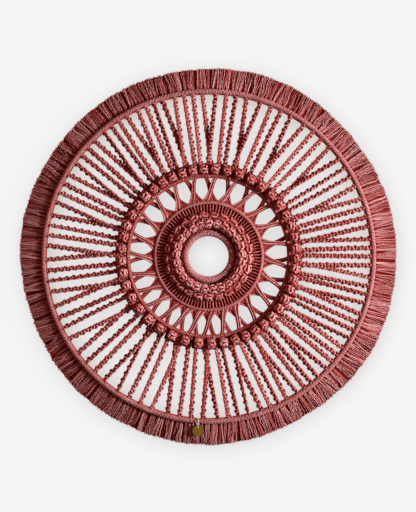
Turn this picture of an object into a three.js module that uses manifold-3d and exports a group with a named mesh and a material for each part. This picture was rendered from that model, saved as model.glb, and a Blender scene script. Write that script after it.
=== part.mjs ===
// Knotted cotton mandala: a round wall hanging tied on four hoops, with a fringe and a small brass tag.
// Millimetres, +Z up, the front faces -Y. The origin is under the top of the outer hoop, where it hangs.
// Clock angles are degrees, 0 at the top, clockwise as the front is seen.
import * as THREE from 'three';
import { mergeVertices } from 'three/addons/utils/BufferGeometryUtils.js';
import Module from 'manifold-3d';

// Cord and fits
const CORD = 2; // thickness of the cotton cord
const FIT = 0.3; // clearance between a piece and what it is tied to or turns on
const JOIN = 1; // how deep two fused shapes reach into each other

// Hoops: bar-centre radius, wire thickness, depth of the bar's centre and flats round the turn
const OUTER_HOOP = { radius: 250, wire: 3, depth: 0, steps: 40 };
const MIDDLE_HOOP = { radius: 121.5, wire: 3, depth: 0, steps: 32 };
const INNER_HOOP = { radius: 81.8, wire: 3, depth: 0, steps: 24 };
const CENTRE_RING = { radius: 35.3, wire: 5.6, depth: -1.5, steps: 20 };
const WRAP_SEAM_CLOCK = 180;
const WIRE_SIDES = 5;
const WRAP_SIDES = 8;
const BERRY_SIDES = 5;
const BERRY_BANDS = 3;

// Hub: a disc of cords side by side, ribbed near its edge, with two staggered rows of berry knots.
// A berry's middle lies some way beyond the bar of the hoop that its cords come from.
const HUB_FRONT = -2;
const HUB_BACK = 2;
const HUB_REPEATS = 25;
const RIBS_PER_REPEAT = 4;
const RIB_HEIGHT = 1.4;
const RIB_LENGTH = 13.8; // inwards from the bar of the inner hoop
const HIGH_BERRY = { hoop: CENTRE_RING, beyond: 14.2, wide: 11.6, tall: 12, depth: -8, thick: 16 };
const LOW_BERRY = { hoop: CENTRE_RING, beyond: 25.7, wide: 13, tall: 13, depth: -4.5, thick: 13 };

// Lattice: crossing bundles between the inner and the middle hoop, with lens-shaped windows between them
const LATTICE_COUNT = 25;
const LATTICE_START = 10.1;
const LATTICE_DRIFT = [[1, 6.8, 100], [2, 2, -79]];
const LATTICE_INNER_SPREAD = 16.4;
const LATTICE_OUTER_SPREAD = 17.4;
const LATTICE_WAIST = 6.4;
const LATTICE_NOTCH = 0.3;
const LATTICE_CORDS = 2; // cords side by side in each arm
const LATTICE_THICKNESS = 4;
const LATTICE_CURVE_STEPS = 4;

// Spokes: pairs of berry knots on the middle hoop, each with two square-knot sennits to the outer hoop
const SPOKE_COUNT = 23;
const BERRY_START = 0.7;
const BERRY_DRIFT = [[1, 3.8, -29], [2, 3.1, 166], [4, 0.7, -142]];
const CROSS_START = 0.2;
const CROSS_DRIFT = [[1, 4.9, -20], [2, 4.2, 170], [4, 0.8, -141]];
const SPOKE_BERRY = { hoop: MIDDLE_HOOP, beyond: 11.2, wide: 14.4, tall: 15.2, depth: -6, thick: 16 };
const BERRY_SHARE = 1 / 4; // where a berry sits, as a share of the way to the next pair
const CROSS_SHARE = 1 / 6; // the same for a crossing sennit's end on the outer hoop
const STRAIGHT_SHARE = 7 / 18; // and for a straight sennit's end
const SENNIT_WIDTH = 6.4;
const SENNIT_THICKNESS = 5;
const SENNIT_PAIR = 8; // between the two sennits that leave one berry, at the middle hoop
const SENNIT_CROSS_LIFT = 1.1; // how far the two crossing sennits of a spoke lie in front and behind

// Fringe: cut cord ends round the outer hoop, in an upper and a lower half
const FRINGE_LENGTH = 32;
const FRINGE_STRANDS = 300;
const FRINGE_ROOT_WIDTH = 3.8;
const FRINGE_ROOT_DEPTH = 2.6;
const FRINGE_SPREAD = 1.3; // how many times as thick a cord end is at its frayed tip
const FRINGE_DROOP = 5; // how far back towards the wall the tips fall
const FRINGE_SPLAY = 1.6; // how far the tips part to the front and to the back
const FRINGE_RAGGED = 2.4;
const FRINGE_LEAN = 0.35;
const FRINGE_LEAN_WAVES = 5;
const FRINGE_SEAM_CLOCK = 90;

// Brass tag on a jump ring round the outer hoop, just left of the bottom
const TAG_SHARE = 0.24; // where it hangs, as a share of the way from the bottom crossing to the next
const TAG_RING_RADIUS = 7;
const TAG_RING_WIRE = 1.2;
const TAG_RING_SIDES = 6;
const TAG_RING_STEPS = 20;
const TAG_RING_TILT = 20;
const TAG_DIAMETER = 17;
const TAG_THICKNESS = 1.2;
const TAG_RIM_WIDTH = 1.1;
const TAG_RIM_HEIGHT = 0.3;
const TAG_HOLE = 3;
const TAG_HOLE_OFFSET = 5.6;
const TAG_STEPS = 24;

const wasm = await Module();
wasm.setup();

const rad = THREE.MathUtils.degToRad;
const ROSE = 0xb4605e;
const ROSE_DEEP = 0xa25553;
const STEEL = 0x9a9a98;
const BRASS = 0xa5813f;

// A point at a radius and clock angle on the face of the mandala, at a depth.
function facePoint(radius, clock, depth) {
  return new THREE.Vector3(radius * Math.sin(rad(clock)), depth, radius * Math.cos(rad(clock)));
}

// Clock angle of step k of an even pattern, moved by a few slow waves [waves a turn, degrees, crest clock].
function driftedClock(k, count, start, drift) {
  const even = (360 * k) / count;
  const moved = drift.map(([turns, degrees, crest]) => degrees * Math.cos(rad(turns * even - crest)));
  return start + even + moved.reduce((total, part) => total + part, 0);
}

// Turns a closed geometry's faces outwards if its enclosed volume comes out negative.
function facingOut(geometry) {
  const points = geometry.attributes.position;
  const index = geometry.index.array;
  const corner = [new THREE.Vector3(), new THREE.Vector3(), new THREE.Vector3()];
  let volume = 0;
  for (let i = 0; i < index.length; i += 3) {
    corner.forEach((point, n) => point.fromBufferAttribute(points, index[i + n]));
    volume += corner[0].dot(corner[1].cross(corner[2])) / 6;
  }
  for (let i = 0; volume < 0 && i < index.length; i += 3) {
    [index[i + 1], index[i + 2]] = [index[i + 2], index[i + 1]];
  }
  return geometry;
}

// A skin over rings of points that all have the same count; an open one gets flat ends.
function loft(rings, closed = false) {
  const count = rings[0].length;
  const index = [];
  const spans = closed ? rings.length : rings.length - 1;
  for (let i = 0; i < spans; i += 1) {
    const here = i * count;
    const next = ((i + 1) % rings.length) * count;
    for (let j = 0; j < count; j += 1) {
      const k = (j + 1) % count;
      index.push(here + j, next + j, next + k, here + j, next + k, here + k);
    }
  }
  const last = (rings.length - 1) * count;
  for (let j = 1; !closed && j < count - 1; j += 1) {
    index.push(0, j, j + 1, last, last + j + 1, last + j);
  }
  const geometry = new THREE.BufferGeometry();
  const positions = rings.flat().flatMap((point) => point.toArray());
  geometry.setAttribute('position', new THREE.Float32BufferAttribute(positions, 3));
  geometry.setIndex(index);
  return facingOut(geometry);
}

// A closed geometry as a solid that can be joined and cut.
function toSolid(geometry) {
  const bare = geometry.clone();
  bare.deleteAttribute('normal');
  bare.deleteAttribute('uv');
  const merged = mergeVertices(bare, 1e-4);
  const vertProperties = new Float32Array(merged.attributes.position.array);
  const triVerts = new Uint32Array(merged.index.array);
  return new wasm.Manifold(new wasm.Mesh({ numProp: 3, vertProperties, triVerts }));
}

// A joined or cut solid as a geometry again.
function toGeometry(solid) {
  const mesh = solid.getMesh();
  const geometry = new THREE.BufferGeometry();
  geometry.setAttribute('position', new THREE.Float32BufferAttribute(mesh.vertProperties, 3));
  geometry.setIndex(Array.from(mesh.triVerts));
  return geometry;
}

// Joins closed geometries into one solid.
function joined(geometries) {
  return geometries.map(toSolid).reduce((whole, solid) => whole.add(solid));
}

// Corners of a regular section whose flats lie at a distance from its centre, as [outward, depth].
function flatSided(sides, flat) {
  const corner = flat / Math.cos(Math.PI / sides);
  const turns = Array.from({ length: sides }, (_, i) => ((i + 0.5) * 2 * Math.PI) / sides);
  return turns.map((turn) => [corner * Math.cos(turn), corner * Math.sin(turn)]);
}

// Rings of a section carried round a hoop between two clock angles, with corners at the hoop's own steps.
function hoopRings(hoop, section, from, to) {
  const step = 360 / hoop.steps;
  const clocks = [from];
  for (let k = Math.floor(from / step) + 1; k * step < to - 1e-6; k += 1) {
    clocks.push(k * step);
  }
  clocks.push(to);
  return clocks.map((clock) => section.map(([out, deep]) => (
    facePoint(hoop.radius + out, clock, hoop.depth + deep)
  )));
}

// A whole ring of a section round a hoop.
function hoopTurn(hoop, section) {
  return loft(hoopRings(hoop, section, 0, 360).slice(0, -1), true);
}

// Distance of the faceted bar's middle from the centre, at a clock angle.
function barRadius(hoop, clock) {
  const half = 180 / hoop.steps;
  const offFlat = (((clock % (2 * half)) + 2 * half) % (2 * half)) - half;
  return (hoop.radius * Math.cos(rad(half))) / Math.cos(rad(offFlat));
}

function wrapRadius(hoop) {
  return hoop.wire / 2 + CORD;
}

// The bare wire of a hoop.
function hoopWire(hoop) {
  return hoopTurn(hoop, flatSided(WIRE_SIDES, hoop.wire / 2));
}

// The cord hitched side by side over a hoop's wire, from one clock angle to another, open at both ends.
function hoopWrap(hoop, from, to) {
  const seam = THREE.MathUtils.radToDeg(FIT / hoop.radius) / 2;
  const outside = loft(hoopRings(hoop, flatSided(WRAP_SIDES, wrapRadius(hoop)), from + seam, to - seam));
  const bore = hoopTurn(hoop, flatSided(WIRE_SIDES, hoop.wire / 2 + FIT));
  return toSolid(outside).subtract(toSolid(bore));
}

// The room that a wrapped hoop takes, with clearance, to cut what is tied to it.
function hoopRoom(hoop) {
  const half = wrapRadius(hoop) + FIT;
  return toSolid(hoopTurn(hoop, [[-half, -half], [half, -half], [half, half], [-half, half]]));
}

// A berry knot: a rolled-up sennit, as a rounded lump standing out to the front, widest at its two rings.
function berry(size, clock) {
  const ringShare = Math.sin(Math.PI / BERRY_BANDS);
  const lump = new THREE.SphereGeometry(0.5, BERRY_SIDES, BERRY_BANDS);
  lump.scale(size.wide / ringShare, size.thick, size.tall / ringShare);
  lump.rotateY(rad(clock));
  const seat = facePoint(size.hoop.radius + size.beyond, clock, size.depth);
  return lump.translate(seat.x, seat.y, seat.z);
}

// The hub between the centre ring and the inner hoop, ribs and both rows of berries fused to it.
function hubKnotwork() {
  const ribCount = HUB_REPEATS * RIBS_PER_REPEAT;
  const reach = CENTRE_RING.radius - INNER_HOOP.radius;
  const plate = hoopTurn(INNER_HOOP, [[0, HUB_FRONT], [reach, HUB_FRONT], [reach, HUB_BACK], [0, HUB_BACK]]);
  const shapes = [];
  for (let k = 0; k < ribCount; k += 1) {
    const clock = (360 * (k + 0.5)) / ribCount;
    const across = facePoint(CORD / 2, clock + 90, 0);
    const rings = [INNER_HOOP.radius - RIB_LENGTH, INNER_HOOP.radius].map((radius) => [
      facePoint(radius, clock, HUB_FRONT + JOIN / 2).sub(across),
      facePoint(radius, clock, HUB_FRONT + JOIN / 2).add(across),
      facePoint(radius, clock, HUB_FRONT - RIB_HEIGHT),
    ]);
    shapes.push(loft(rings));
  }
  for (let k = 0; k < HUB_REPEATS; k += 1) {
    shapes.push(berry(HIGH_BERRY, (360 * k) / HUB_REPEATS));
    shapes.push(berry(LOW_BERRY, (360 * (k + 0.5)) / HUB_REPEATS));
  }
  const whole = toSolid(plate).add(joined(shapes));
  return whole.subtract(hoopRoom(CENTRE_RING)).subtract(hoopRoom(INNER_HOOP));
}

// One bundle of the lattice: two arms of cords side by side that cross and spread again at both hoops.
function latticeBundle(clock) {
  const low = INNER_HOOP.radius;
  const high = MIDDLE_HOOP.radius;
  const middle = (low + high) / 2;
  const notch = (high - low) * LATTICE_NOTCH;
  const [inner, outer, waist] = [LATTICE_INNER_SPREAD / 2, LATTICE_OUTER_SPREAD / 2, LATTICE_WAIST / 2];
  const arm = LATTICE_CORDS * CORD;
  const bow = 2 * waist - (inner + outer) / 2; // control point that brings the side's middle to the waist
  const outline = new THREE.Shape();
  outline.moveTo(-inner, low);
  outline.quadraticCurveTo(-bow, middle, -outer, high);
  outline.lineTo(arm - outer, high);
  outline.lineTo(0, high - notch);
  outline.lineTo(outer - arm, high);
  outline.lineTo(outer, high);
  outline.quadraticCurveTo(bow, middle, inner, low);
  outline.lineTo(inner - arm, low);
  outline.lineTo(0, low + notch);
  outline.lineTo(arm - inner, low);
  const flat = new THREE.ExtrudeGeometry(outline, {
    depth: LATTICE_THICKNESS, bevelEnabled: false, curveSegments: LATTICE_CURVE_STEPS,
  });
  flat.translate(0, 0, -LATTICE_THICKNESS / 2);
  flat.rotateX(Math.PI / 2);
  flat.rotateY(rad(clock));
  return toSolid(flat).subtract(hoopRoom(INNER_HOOP)).subtract(hoopRoom(MIDDLE_HOOP));
}

// A sennit from the middle hoop, under its berry, to the outer hoop: a flat band of square knots.
function sennit(root, end) {
  const along = end.clone().sub(root).normalize();
  const across = new THREE.Vector3(0, 1, 0).cross(along).normalize().multiplyScalar(SENNIT_WIDTH / 2);
  const up = along.clone().cross(across).normalize().multiplyScalar(SENNIT_THICKNESS / 2);
  const rings = [root, end].map((point) => [
    point.clone().add(across).add(up),
    point.clone().sub(across).add(up),
    point.clone().sub(across).sub(up),
    point.clone().add(across).sub(up),
  ]);
  return loft(rings);
}

function crossClock(k) {
  return driftedClock(k, SPOKE_COUNT, CROSS_START, CROSS_DRIFT);
}

// Clock angle on the outer hoop at a share of the way from spoke k to the next one, on either side.
function hoopEndClock(k, side, share) {
  return crossClock(k) + (crossClock(k + side) - crossClock(k)) * share;
}

// One repeat of the spokes: two berries, two straight sennits, and two that cross and are caught together.
function spoke(k) {
  const here = driftedClock(k, SPOKE_COUNT, BERRY_START, BERRY_DRIFT);
  const shapes = [];
  for (const side of [-1, 1]) {
    const next = driftedClock(k + side, SPOKE_COUNT, BERRY_START, BERRY_DRIFT);
    const clock = here + (next - here) * BERRY_SHARE;
    const aside = facePoint(SENNIT_PAIR / 2, clock + 90, 0).multiplyScalar(side);
    const root = facePoint(MIDDLE_HOOP.radius, clock, MIDDLE_HOOP.depth);
    const [straightEnd, crossEnd] = [
      hoopEndClock(k, side, STRAIGHT_SHARE),
      hoopEndClock(k, -side, CROSS_SHARE),
    ].map((end) => facePoint(OUTER_HOOP.radius, end, OUTER_HOOP.depth));
    shapes.push(berry(SPOKE_BERRY, clock));
    const lift = new THREE.Vector3(0, side * SENNIT_CROSS_LIFT, 0);
    shapes.push(sennit(root.clone().add(aside), straightEnd));
    shapes.push(sennit(root.clone().sub(aside).add(lift), crossEnd.add(lift)));
  }
  return joined(shapes).subtract(hoopRoom(MIDDLE_HOOP)).subtract(hoopRoom(OUTER_HOOP));
}

// Clock angle of the tag: between a crossing and a straight sennit's end, just past the bottom.
function tagClock() {
  const bottom = Math.round(SPOKE_COUNT / 2);
  return hoopEndClock(bottom, 1, TAG_SHARE);
}

const FRINGE_RADIUS = OUTER_HOOP.radius + wrapRadius(OUTER_HOOP) + FRINGE_LENGTH;

// One cut cord end of the fringe, three-sided, from inside the wrap to its ragged tip.
function fringeStrand(k) {
  const clock = fringeClock(k);
  const lean = FRINGE_LEAN * Math.sin(rad(FRINGE_LEAN_WAVES * clock));
  const ragged = FRINGE_RAGGED * Math.abs(Math.sin(k * k));
  const flat = (OUTER_HOOP.radius + wrapRadius(OUTER_HOOP)) * Math.cos(Math.PI / OUTER_HOOP.steps);
  const ridge = k % 2 ? FRINGE_ROOT_DEPTH / 2 : -FRINGE_ROOT_DEPTH / 2; // alternately at the back and in front
  const tipDepth = OUTER_HOOP.depth + FRINGE_DROOP + Math.sign(ridge) * FRINGE_SPLAY;
  const ends = [
    [facePoint(flat - JOIN / 2, clock, OUTER_HOOP.depth), 1],
    [facePoint(FRINGE_RADIUS - ragged, clock + lean, tipDepth), FRINGE_SPREAD],
  ];
  const rings = ends.map(([middle, size]) => {
    const across = facePoint((FRINGE_ROOT_WIDTH / 2) * size, clock + 90, 0);
    const deep = new THREE.Vector3(0, ridge * size, 0);
    return [
      middle.clone().sub(across).sub(deep),
      middle.clone().add(across).sub(deep),
      middle.clone().add(deep),
    ];
  });
  return loft(rings);
}

function fringeClock(k) {
  return (360 * (k + 0.5)) / FRINGE_STRANDS;
}

// Half of the outer hoop's wrap with the cord ends that leave it; the tag's ring passes where ends part.
function fringeHalf(from, to) {
  const sway = rad(FRINGE_LEAN) * FRINGE_RADIUS;
  const tagRoom = (FRINGE_ROOT_WIDTH * FRINGE_SPREAD + TAG_RING_WIRE) / 2 + sway + FIT;
  const strands = Array.from({ length: FRINGE_STRANDS }, (_, k) => k).filter((k) => {
    const inHalf = (fringeClock(k) - from + 360) % 360 < to - from;
    const fromTag = rad(Math.abs(fringeClock(k) - tagClock())) * OUTER_HOOP.radius;
    return inHalf && fromTag > tagRoom;
  });
  return hoopWrap(OUTER_HOOP, from, to).add(joined(strands.map(fringeStrand)));
}

// Depth of the tag's middle, and the jump ring's centre: it hangs on the hoop and leans to the front.
const FRINGE_FRONT = -FRINGE_ROOT_DEPTH / 2;
const TAG_DEPTH = FRINGE_FRONT - FIT - TAG_THICKNESS / 2;
const TAG_RING_DROP = TAG_RING_RADIUS - TAG_RING_WIRE / 2 - FIT
  - wrapRadius(OUTER_HOOP) / Math.cos(Math.PI / WRAP_SIDES);
const TAG_RING_CENTRE = {
  depth: -TAG_RING_DROP * Math.sin(rad(TAG_RING_TILT)),
  down: TAG_RING_DROP * Math.cos(rad(TAG_RING_TILT)),
};

// The jump ring, square to the hoop, in the hoop's frame at the tag: outwards is down.
function tagRing() {
  const section = flatSided(TAG_RING_SIDES, TAG_RING_WIRE / 2);
  const rings = Array.from({ length: TAG_RING_STEPS }, (_, i) => {
    const turn = (i * 2 * Math.PI) / TAG_RING_STEPS;
    return section.map(([out, side]) => new THREE.Vector3(
      side,
      TAG_RING_CENTRE.depth + (TAG_RING_RADIUS + out) * Math.sin(turn),
      -TAG_RING_CENTRE.down + (TAG_RING_RADIUS + out) * Math.cos(turn),
    ));
  });
  return loft(rings, true);
}

// How far below the hoop's bar the tag's hole hangs: on the ring's wire where the tag crosses it.
function tagHoleDrop() {
  const ahead = TAG_DEPTH - TAG_RING_CENTRE.depth;
  const slack = TAG_HOLE / 2 - TAG_RING_WIRE / 2 - FIT;
  return TAG_RING_CENTRE.down + Math.sqrt(TAG_RING_RADIUS ** 2 - ahead ** 2) + slack / 2;
}

// The bare round tag with a raised rim, its hole at the origin, its face to the front.
function tagDisc() {
  const radius = TAG_DIAMETER / 2;
  const back = TAG_THICKNESS / 2;
  const profile = [
    [0, back],
    [radius, back],
    [radius, -back - TAG_RIM_HEIGHT],
    [radius - TAG_RIM_WIDTH / 2, -back - TAG_RIM_HEIGHT],
    [radius - TAG_RIM_WIDTH, -back],
    [0, -back],
  ].map(([out, deep]) => new THREE.Vector2(out, deep));
  const blank = new THREE.LatheGeometry(profile, TAG_STEPS);
  blank.translate(0, 0, -TAG_HOLE_OFFSET);
  const punch = new THREE.CylinderGeometry(TAG_HOLE / 2, TAG_HOLE / 2, TAG_DIAMETER, TAG_STEPS / 2);
  return toSolid(facingOut(blank)).subtract(toSolid(punch));
}

// A named mesh with its own finish.
function piece(name, shape, color, roughness, metalness) {
  const geometry = shape.isBufferGeometry ? shape : toGeometry(shape);
  geometry.computeVertexNormals();
  const mesh = new THREE.Mesh(geometry, new THREE.MeshStandardMaterial({ color, roughness, metalness }));
  mesh.name = name;
  return mesh;
}

const cotton = (name, shape, color = ROSE) => piece(name, shape, color, 0.9, 0);
const wire = (name, hoop) => piece(name, hoopWire(hoop), STEEL, 0.4, 0.9);
const numbered = (word, k) => `${word}_${String(k + 1).padStart(2, '0')}`;
const wrapOf = (hoop) => hoopWrap(hoop, WRAP_SEAM_CLOCK - 360, WRAP_SEAM_CLOCK);

// The face of the mandala, about its own centre.
const face = new THREE.Group();
face.position.z = wrapRadius(OUTER_HOOP) - OUTER_HOOP.radius;
face.add(wire('centre_ring', CENTRE_RING));
face.add(wire('inner_hoop', INNER_HOOP));
face.add(wire('middle_hoop', MIDDLE_HOOP));
face.add(wire('outer_hoop', OUTER_HOOP));
face.add(cotton('centre_wrap', wrapOf(CENTRE_RING)));
face.add(cotton('hub_knotwork', hubKnotwork(), ROSE_DEEP));
face.add(cotton('inner_hitches', wrapOf(INNER_HOOP)));
face.add(cotton('middle_hitches', wrapOf(MIDDLE_HOOP), ROSE_DEEP));
for (let k = 0; k < LATTICE_COUNT; k += 1) {
  const clock = driftedClock(k + 0.5, LATTICE_COUNT, LATTICE_START, LATTICE_DRIFT);
  face.add(cotton(numbered('lattice', k), latticeBundle(clock), ROSE_DEEP));
}
for (let k = 0; k < SPOKE_COUNT; k += 1) {
  face.add(cotton(numbered('spoke', k), spoke(k)));
}
face.add(cotton('fringe_upper', fringeHalf(FRINGE_SEAM_CLOCK - 180, FRINGE_SEAM_CLOCK)));
face.add(cotton('fringe_lower', fringeHalf(FRINGE_SEAM_CLOCK, FRINGE_SEAM_CLOCK + 180)));

// The tag hangs plumb from its ring, which turns on the hoop.
const tagSeat = new THREE.Group();
tagSeat.position.copy(facePoint(barRadius(OUTER_HOOP, tagClock()), tagClock(), 0));
tagSeat.rotation.y = rad(tagClock() - 180);
tagSeat.add(piece('tag_ring', tagRing(), BRASS, 0.35, 0.9));
const tagDiscMesh = piece('tag_disc', tagDisc(), BRASS, 0.45, 0.85);
tagDiscMesh.position.set(0, TAG_DEPTH, -tagHoleDrop());
tagDiscMesh.rotation.y = -tagSeat.rotation.y;
tagSeat.add(tagDiscMesh);
face.add(tagSeat);

const mandala = new THREE.Group();
mandala.add(face);

export default mandala;
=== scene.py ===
"""Dresses the knotted mandala with its real cords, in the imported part's own frame.

Shapes are worked out in millimetres about the middle of the face: x to the right, y towards the wall, z up.
Clock angles are degrees, 0 at the top, clockwise as the front is seen.
"""

import math
from collections import namedtuple

import bpy
import numpy as np
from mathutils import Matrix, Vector


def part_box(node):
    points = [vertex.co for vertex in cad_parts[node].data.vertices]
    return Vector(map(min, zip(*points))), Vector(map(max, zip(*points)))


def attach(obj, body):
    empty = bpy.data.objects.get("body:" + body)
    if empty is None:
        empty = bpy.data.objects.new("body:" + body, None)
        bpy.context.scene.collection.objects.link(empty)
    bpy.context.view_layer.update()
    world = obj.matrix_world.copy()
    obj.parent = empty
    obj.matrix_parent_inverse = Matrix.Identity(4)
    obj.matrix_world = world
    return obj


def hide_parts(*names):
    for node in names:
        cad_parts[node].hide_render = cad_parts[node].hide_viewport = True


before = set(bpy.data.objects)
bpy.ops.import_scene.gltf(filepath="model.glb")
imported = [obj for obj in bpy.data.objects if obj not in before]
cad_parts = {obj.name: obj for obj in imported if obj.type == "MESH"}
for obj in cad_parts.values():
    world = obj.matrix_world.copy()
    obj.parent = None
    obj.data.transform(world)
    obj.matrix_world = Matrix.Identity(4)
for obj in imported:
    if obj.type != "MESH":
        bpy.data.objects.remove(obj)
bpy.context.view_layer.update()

MM = 0.001
SHARP = math.radians(75)  # edges of cords sharper than this stay crisp
METAL_SHARP = math.radians(30)  # and edges of metal
SEED = 23
RANDOM = np.random.default_rng(SEED)

# Cord
CORD = 2.0  # thickness of the cotton cord
PLIES = 3  # yarns twisted into one cord
LAY = 7.0  # length of one turn of the twist
FIBRE_SCALE = 1400.0  # of the noise of fibres, for each metre
DYE_SCALE = 55.0  # of the noise of the dye
CREVICE_SHADE_REACH = 5.0  # how near other cords have to be to darken one with painted shade
CREVICE_SHADE_LIGHT = (1.05, 0.1)  # how much painted light a cord gets clear of other cords, and how much it keeps deep in the work
TONE_PARTS = (0.25, 0.25, 0.3, 0.1, 0.2)  # of the plies, with painted shade in their grooves, fibres, dye and own random tone in a cord's tone, and the rest

# Openness, the painted shade: how light a cord is painted, from 0 deep in the work where shade falls to about 1
# on a bare front
# pieces and cords that lie deeper or in more shade are given less
BACK_OPEN = 0.8  # of backs, which face the wall
# the hoops' turns and the cord inside the outer hitches, each painted lighter or darker as its shade
RING_OPEN = 0.97
INNER_HITCH_OPEN = 0.86
MIDDLE_HITCH_OPEN = 0.72
OUTER_HITCH_OPEN = 0.93
HITCH_BACK_OPEN = 0.6
KNOT_OPEN = 1.05  # painted light of a knotting cord where it stands furthest forward
KNOT_REAR = 0.5  # how much of its painted shade is left where it lies right at the back
SENNIT_OPEN = 0.86  # times that, in a sennit
SENNIT_FADE = 0.12  # how much darker its knotting cords are painted, as shade, at the level of the fillers
# the fillers of a sennit, painted darker as the shade behind its knots
SENNIT_CORE_OPEN = 0.75
# the same for berries, whose filling is painted nearly dark as the shade inside them
BERRY_FADE = 0.4
BERRY_CORE_OPEN = 0.1
# the ribs, their backs and the layer of ribs behind them, painted darker as the shade between the ribs
RIB_OPEN = 0.72
RIB_BACK_OPEN = 0.3
BACK_RIB_OPEN = 0.25
LATTICE_OPEN = 0.92
LATTICE_LOW_OPEN = 0.6  # of the cords that lie behind their neighbours, painted darker as shade
LATTICE_UNDER = 0.7  # times that, as painted shade, in the band that crosses behind
# the cords under the spokes' berries, painted nearly dark as the shade between them
ROOT_OPEN = 0.08
YARN_OPEN = 0.86
YARN_FADE = 0.2  # how much darker a yarn is painted, as shade, for each millimetre behind its cord end's middle
YARN_VARIES = (0.7, 1.25)  # times its openness, at random
LOCK_VARIES = (0.9, 1.1)  # the same for all yarns of a cord end
# the backing's fronts, painted dark as the shade behind the cord ends
BACKING_OPEN = (0.0, 0.25)

# colours along a cord's painted light times its tone: from painted shade deep in the work to a bare front in full
# light
COTTON_AND_SHADE_TONES = ((0.0, (0.12, 0.004, 0.003)), (0.4, (0.44, 0.065, 0.055)), (0.75, (0.81, 0.45, 0.45)),
                (1.0, (0.92, 0.61, 0.62)))

# Painted shade on the wall, tan with painted bounce light where deepest: from deep between the cords to clear of
# them
WALL_SHADE_TONES = ((0.0, (0.38, 0.22, 0.13)), (0.42, (0.63, 0.55, 0.47)), (0.66, (0.80, 0.796, 0.79)),
              (1.0, (1.0, 1.0, 1.0)))
WALL_PAINT = (0.14, 0.1, 0.09, 1)  # as it lights the hanging
WALL_GLOW = 0.9  # how much of what the camera sees of it glows, bright apart from its painted shade, rather than being lit
WALL_SHADE_REACH = 0.04  # how far from the hanging the wall is shaded, in metres
WALL_SHADE_FACING = (-0.25, -0.9, 0.35)  # away from the side that is shaded most

# Wrapped hoops: half-thickness of the wire, and how far apart the turns of cord lie
HOOP_WIRE = 1.5
RING_WIRE = 2.8
WIRE_TONES = ((0.42, 0.41, 0.39, 1), (0.58, 0.57, 0.55, 1))
TURN_THICKNESS = 1.6  # of a cord pulled flat on a hoop
OUTER_TURN_THICKNESS = 2.7
RING_TURN_THICKNESS = 2.6
HITCH_BACK = 1.5  # half-thickness of the cord inside the outer hitches
HITCH_SLOPE = 0.7  # how steeply the inner hoop's hitches fall outwards, and the middle hoop's inwards
TURN_PITCH = 2.15
RING_TURNS = 96
TURN_STEPS = 10
TURN_OVERLAP = 1.02  # times the room that a turn has along the bar
HOOP_STEPS = 144
HOOP_SIDES = 10
HITCH_BACK_STEPS = 577

# Square knots: how far a knotting cord dives behind at the sides, and how far the other comes forward there
KNOT_DIVE = 1.4
KNOT_COME = 1.8

# Square-knot sennits of the spokes
SENNIT_KNOTS = 12
SENNIT_SWING = 3.1  # how far a knotting cord swings to each side of the middle
SENNIT_RISE = 1.4  # how far it stands in front of and behind the filler cords
SENNIT_CORD = 1.75  # half-thickness of a knotting cord
SENNIT_LAG = 0.15  # how late the cord behind turns, in half-knots
SENNIT_CORE = (2.2, 1.6)  # half-sizes of the filler cords together
SENNIT_TWIST = 45.0  # most that a sennit turns along its length
SENNIT_OVERLAP = 2.3  # how far the crossing sennits bend apart where they meet
SENNIT_BELL = 0.17  # how long that bend is, as a share of the length
SENNIT_WAVE = 0.8  # how far a sennit strays from its line
SENNIT_UNEVEN = (0.85, 1.15)  # times the swing, at random for each half-knot
SENNIT_STEPS = 7  # along a half-knot
SENNIT_SQUARE = 1.1  # how squarely a knotting cord crosses
SENNIT_LEAD = 0.6  # how far the cord in front swings, as a share of the other's swing
SPOKE_PAIR = 8.0  # between the two sennits of a berry, at the middle hoop

# Berry knots: seat radius and depth, size across, to the front and outwards, and openness, a painted shade
# the high row is painted lighter, and the low row darker, as the shade of the high row falls on it
SPOKE_BERRY = {"radius": 132.0, "depth": -6.4, "size": (13.8, 15.2, 15.8), "bare": 1.0}
HIGH_BERRY = {"radius": 49.8, "depth": -8.0, "size": (14.4, 15.6, 15.4), "bare": 1.12}
LOW_BERRY = {"radius": 60.4, "depth": -3.4, "size": (16.6, 13.6, 15.8), "bare": 0.92}
BERRY_KINDS = 5  # that the knots are picked from
BERRY_ROLL = 270.0  # degrees of the roll that the knotting covers
BERRY_HALF_KNOTS = 5
BERRY_STEPS = 8  # along a half-knot
BERRY_SQUARE = 1.8  # how squarely its cords cross
BERRY_LAG = 0.15
BERRY_CORD = 0.14  # half-thickness of its cords, as a share of its size
BERRY_SWELL = 1.0  # how far the cords rise and dive, as a share of their thickness
BERRY_THIN = 0.9  # times the cords' thickness, where they are level with the middle of the knots
BERRY_THICKEN = 0.15  # more where they stand forward
BERRY_BOW = 0.05  # how far the knots bow to each side in turn
BERRY_ENDS = 0.4  # how wide the roll is at its ends, as a share of its width
BERRY_ROUND = 0.66  # how soon it narrows towards them
BERRY_CORE = (0.36, 0.42, 0.3)  # of its filling: half-length, where its ends would close, and half-thickness
BERRY_CORE_GRID = (7, 8)  # its steps and sides
BERRY_VARIES = (0.95, 1.07)  # times its size, at random
BERRY_LEAN = 14.0
BERRY_ROOTS = 10  # cords that rise from the hoop under a berry of the spokes, painted nearly dark as the shade between berries
ROOT_SPREAD = 20.0  # how wide they start
ROOT_REACH = 20.0  # how far out they show
ROOT_NARROW = 0.15  # how much narrower they end
ROOT_DEPTH = 1.2  # where they start, and they end 1 mm further forward
ROOT_HALF = (1.2, 1.0)  # half-sizes of one
ROOT_STEPS = 5
HUB_REPEATS = 25

# Hub cords
RIBS_PER_REPEAT = 4
RIB_REACH = (38.0, 81.0)
RIB_DEPTHS = (-2.6, -1.3)
RIB_HALF = (1.0, 1.15)  # half-sizes of one
RIB_STRAY = 0.25  # degrees that one strays
RIB_STEPS = 6
BACK_RIB_DEPTH = 1.5
BACK_RIB_HALF = (1.8, 1.1)

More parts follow.
